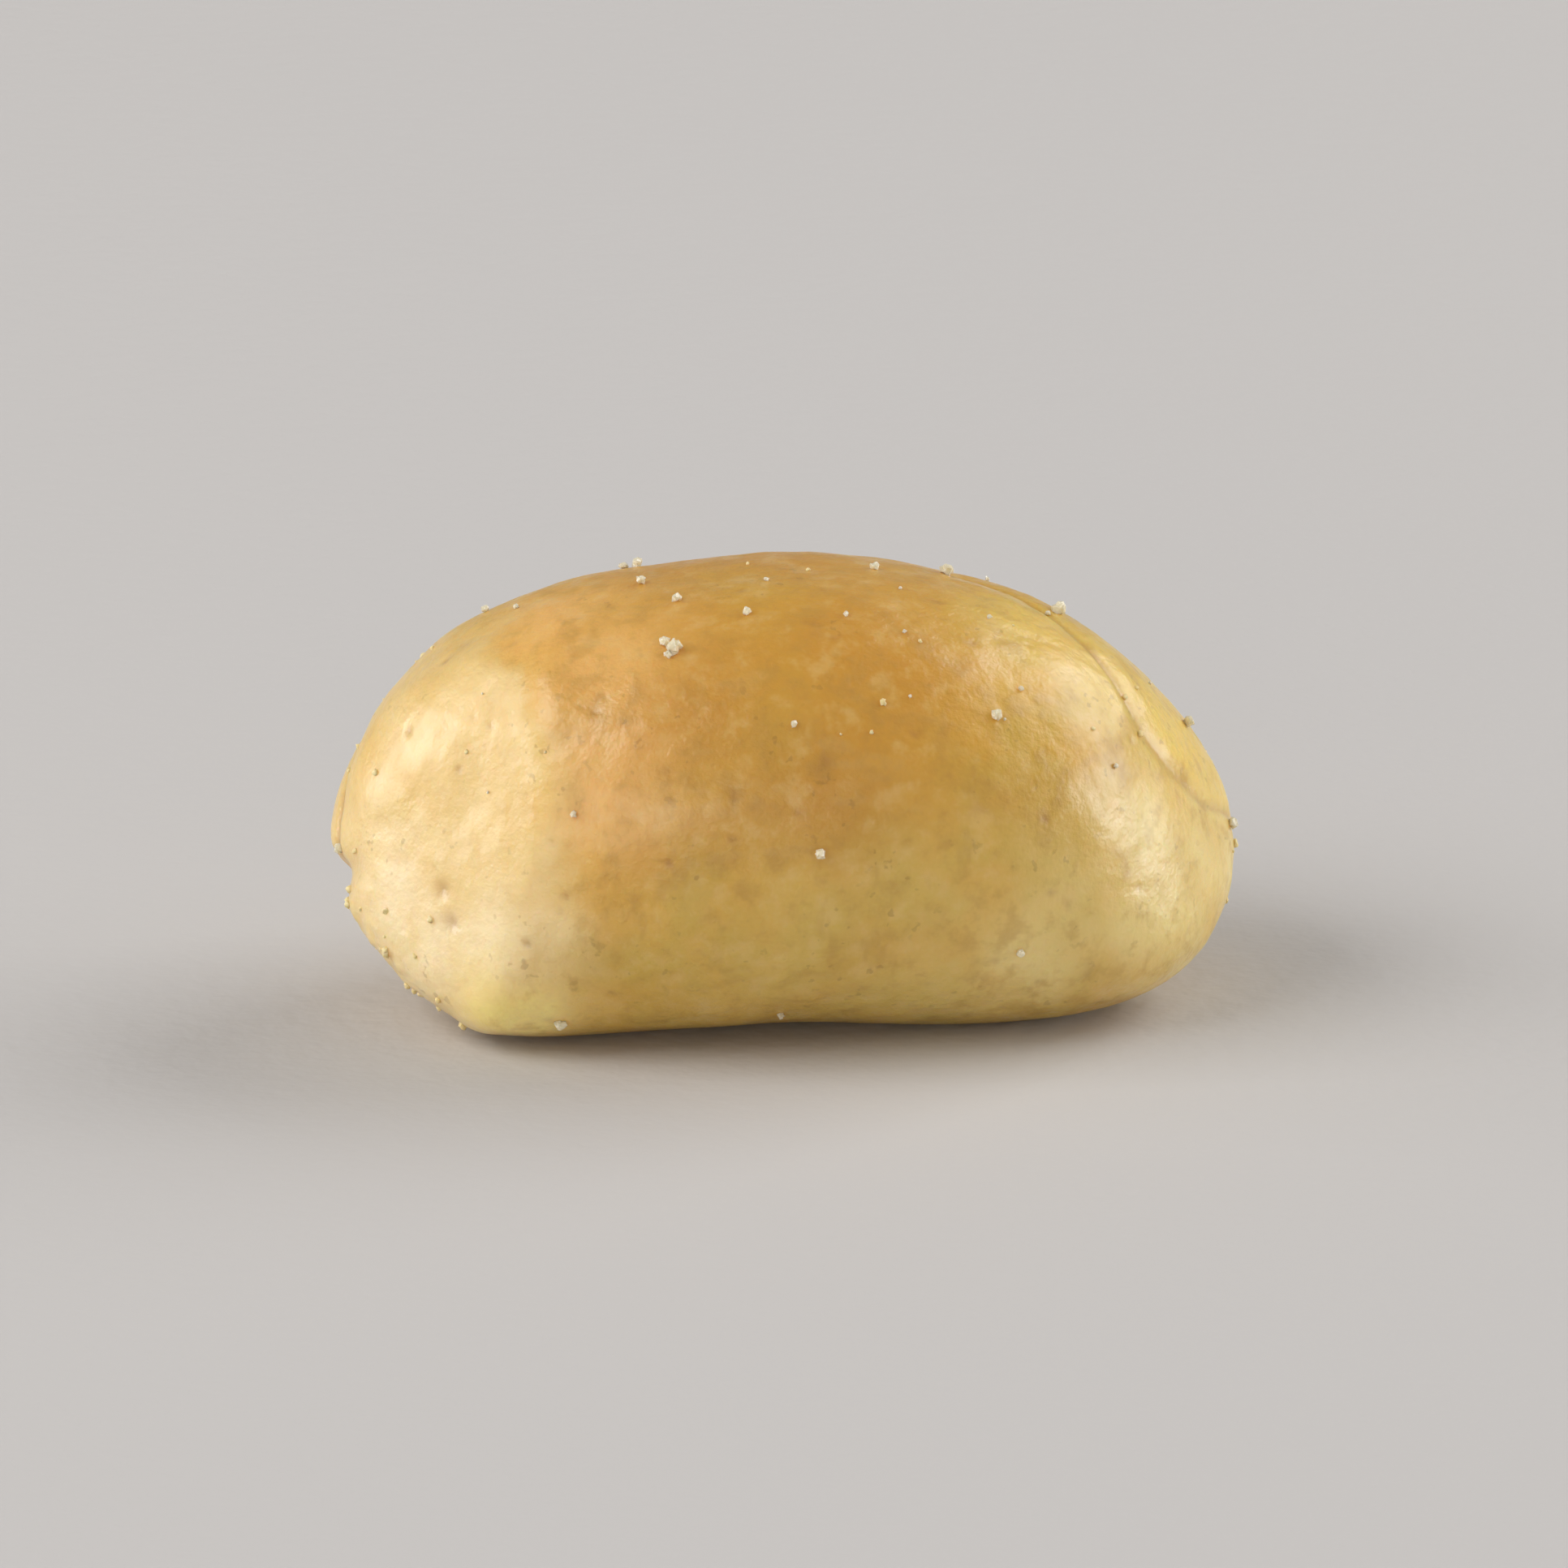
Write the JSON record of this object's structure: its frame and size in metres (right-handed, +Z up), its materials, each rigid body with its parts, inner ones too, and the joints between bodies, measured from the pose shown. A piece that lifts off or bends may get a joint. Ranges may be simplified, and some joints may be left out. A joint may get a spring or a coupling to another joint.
{
  "type": "peanut kernel",
  "caption": "Whole roasted peanut kernel out of its shell and skin, a blunt bean shape that lies on its side on a small flat spot.",
  "frame": {"origin": "on the surface that the nut lies on, under the middle of its box", "axes": "+X along the nut towards its lower, narrower end, +Y from the front face to the back, +Z up"},
  "size_m": [0.0162, 0.0092, 0.008],
  "materials": {
    "roasted_kernel": "satin, a little oily, pale golden with darker roasted patches and grains of salt"
  },
  "bodies": {
    "root": {"kernel": "roasted_kernel"}
  },
  "joints": []
}
